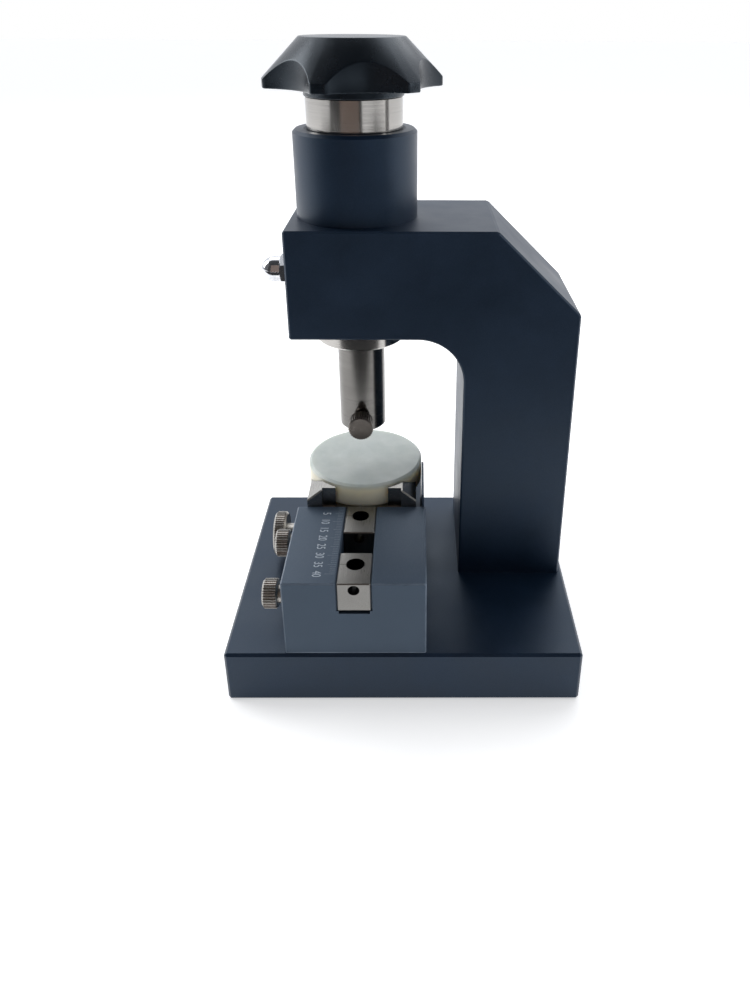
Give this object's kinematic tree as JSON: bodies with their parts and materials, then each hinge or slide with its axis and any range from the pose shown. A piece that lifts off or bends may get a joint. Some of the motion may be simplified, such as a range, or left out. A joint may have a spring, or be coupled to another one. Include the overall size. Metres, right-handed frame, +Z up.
{
  "type": "hand_rivet_press",
  "caption": "Bench-top hand press for rivets and small punches: C-frame, spring-returned ram with palm knob, block with channel and sliders, jaws round a nylon pad",
  "frame": {"origin": "middle of the base plate's underside", "axes": "+Z up along the ram, +X right towards the column, -Y front where the user stands"},
  "size_m": [0.123, 0.098, 0.2128],
  "materials": {
    "dark_anodised": "fine matt anodised aluminium",
    "grey_anodised": "matt slate-grey anodised aluminium",
    "ground_steel": "finely ground and turned steel",
    "knurled_steel": "turned steel with straight knurling",
    "spring_steel": "drawn spring wire, bright",
    "black_steel": "black oxide",
    "chrome": "bright plated",
    "black_plastic": "satin moulded phenolic",
    "nylon": "milky turned nylon"
  },
  "bodies": {
    "stand": {"base_plate": "dark_anodised", "c_frame": "dark_anodised", "guide_sleeve": "dark_anodised", "guide_screw": "spring_steel", "acorn_nut": "chrome", "work_block": "grey_anodised", "vise_body": "dark_anodised", "right_jaw": "ground_steel", "guide_rod": "ground_steel", "pad_fence": "dark_anodised", "frame_screws": "black_steel", "block_screws": "black_steel", "vise_screws": "black_steel", "right_jaw_screws": "black_steel", "fence_screws": "black_steel"},
    "ram_group": {"ram": "ground_steel", "ram_cap": "ground_steel", "return_spring": "spring_steel", "hand_knob": "black_plastic", "punch_holder": "ground_steel"},
    "holder_clamp": {"holder_clamp_screw": "knurled_steel"},
    "slider_front": {"front_slider": "ground_steel"},
    "slider_rear": {"rear_slider": "ground_steel"},
    "clamp_front": {"front_clamp_screw": "knurled_steel"},
    "clamp_rear": {"rear_clamp_screw": "knurled_steel"},
    "jaw_moving": {"left_jaw": "ground_steel"},
    "jaw_drive": {"jaw_screw": "ground_steel", "screw_collar": "ground_steel", "jaw_knob": "knurled_steel"},
    "pad": {"nylon_pad": "nylon"}
  },
  "joints": [
    {"name": "press_stroke", "type": "slide", "parent": "stand", "child": "ram_group", "axis": [0, 0, -1], "range_m": [0, 0.01], "stiffness_N_per_m": 1500, "springref_m": -0.01, "deforming": ["return_spring"]},
    {"name": "holder_clamp_turn", "type": "hinge", "parent": "ram_group", "child": "holder_clamp", "pos_m": [-0.0163, 0.00635, 0.0798], "axis": [0, -1, 0], "range_deg": [-90, 90]},
    {"name": "front_slider_slide", "type": "slide", "parent": "stand", "child": "slider_front", "axis": [0, -1, 0], "range_m": [-0.005, 0.01]},
    {"name": "rear_slider_slide", "type": "slide", "parent": "stand", "child": "slider_rear", "axis": [0, -1, 0], "range_m": [0, 0.006]},
    {"name": "front_clamp_turn", "type": "hinge", "parent": "stand", "child": "clamp_front", "pos_m": [-0.0445, -0.0423, 0.0415], "axis": [-1, 0, 0], "range_deg": [-90, 90]},
    {"name": "rear_clamp_turn", "type": "hinge", "parent": "stand", "child": "clamp_rear", "pos_m": [-0.0445, -0.0142, 0.0415], "axis": [-1, 0, 0], "range_deg": [-90, 90]},
    {"name": "jaw_screw_turn", "type": "hinge", "parent": "stand", "child": "jaw_drive", "pos_m": [-0.0487, 0.00495, 0.0319], "axis": [-1, 0, 0], "range_deg": [0, 1980]},
    {"name": "left_jaw_slide", "type": "slide", "parent": "stand", "child": "jaw_moving", "axis": [-1, 0, 0], "range_m": [0, 0.0055]},
    {"name": "pad_lift", "type": "slide", "parent": "stand", "child": "pad", "axis": [0, 0, 1], "range_m": [0, 0.006]}
  ],
  "couplings": [
    {"joint": "jaw_screw_turn", "follows": "left_jaw_slide", "rad_per_m": 6283.2}
  ]
}
